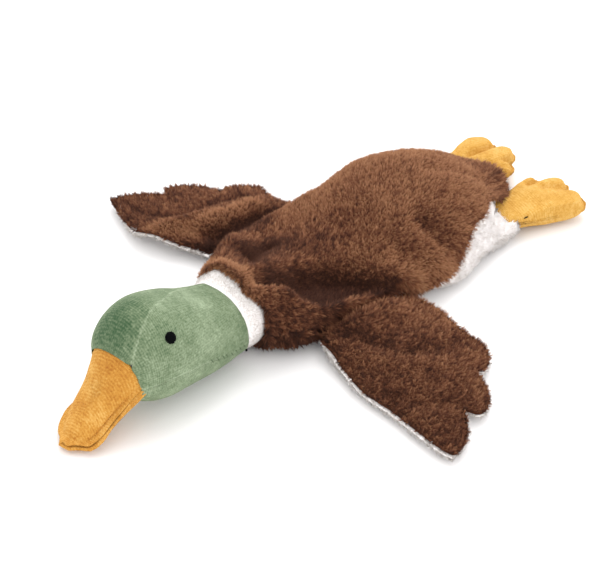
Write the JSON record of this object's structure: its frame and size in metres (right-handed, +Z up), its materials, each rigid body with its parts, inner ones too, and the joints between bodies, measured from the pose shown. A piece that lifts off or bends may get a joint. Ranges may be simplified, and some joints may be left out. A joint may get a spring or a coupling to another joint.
{
  "type": "plush duck",
  "caption": "Floppy plush mallard lying on its belly, with a green velvet head, white collar, brown plush back, spread wings and webbed feet.",
  "frame": {"origin": "middle of the flat patch that the belly rests on", "axes": "+Z up from the floor, -Y towards the beak, +X to the duck's left wing"},
  "size_m": [0.268, 0.3322, 0.0579],
  "materials": {
    "brown_plush": "teddy plush pile",
    "white_plush": "plush pile",
    "green_velvet": "knitted velvet",
    "yellow_velvet": "knitted velvet",
    "black_thread": "satin stitch",
    "wadding": "loose fibre"
  },
  "bodies": {
    "torso": {"back_panel": "brown_plush", "breast_panel": "brown_plush", "belly_panel": "white_plush", "body_filling": "wadding", "left_leg": "white_plush", "left_leg_filling": "wadding", "right_leg": "white_plush", "right_leg_filling": "wadding"},
    "neck": {"neck_ring": "white_plush", "neck_filling": "wadding"},
    "head": {"head_crown": "green_velvet", "head_left_side": "green_velvet", "head_right_side": "green_velvet", "head_chin": "green_velvet", "head_filling": "wadding", "left_eye": "black_thread", "right_eye": "black_thread", "beak_upper": "yellow_velvet", "beak_lower": "yellow_velvet", "beak_filling": "wadding"},
    "left_wing": {"left_wing_top": "brown_plush", "left_wing_underside": "white_plush"},
    "right_wing": {"right_wing_top": "brown_plush", "right_wing_underside": "white_plush"},
    "left_foot": {"left_foot_top": "yellow_velvet", "left_foot_sole": "yellow_velvet", "left_foot_filling": "wadding"},
    "right_foot": {"right_foot_top": "yellow_velvet", "right_foot_sole": "yellow_velvet", "right_foot_filling": "wadding"}
  },
  "joints": [
    {"name": "neck_turn", "type": "hinge", "parent": "torso", "child": "neck", "pos_m": [0.014, -0.095, 0.0231], "axis": [0, 0, 1], "range_deg": [-20, 20]},
    {"name": "head_nod", "type": "hinge", "parent": "neck", "child": "head", "pos_m": [0.01652, -0.10928, 0.0231], "axis": [-0.9848, -0.1736, 0], "range_deg": [0, 30], "deforming": ["neck_ring"]},
    {"name": "left_wing_flap", "type": "hinge", "parent": "torso", "child": "left_wing", "pos_m": [0.05, -0.035, 0.0068], "axis": [0, -1, 0], "range_deg": [0, 90]},
    {"name": "right_wing_flap", "type": "hinge", "parent": "torso", "child": "right_wing", "pos_m": [-0.05, -0.035, 0.0068], "axis": [0, 1, 0], "range_deg": [0, 90]},
    {"name": "left_foot_flap", "type": "hinge", "parent": "torso", "child": "left_foot", "pos_m": [0.0235, 0.079, 0.0082], "axis": [1, 0, 0], "range_deg": [0, 60]},
    {"name": "right_foot_flap", "type": "hinge", "parent": "torso", "child": "right_foot", "pos_m": [-0.0235, 0.079, 0.0082], "axis": [1, 0, 0], "range_deg": [0, 60]}
  ]
}
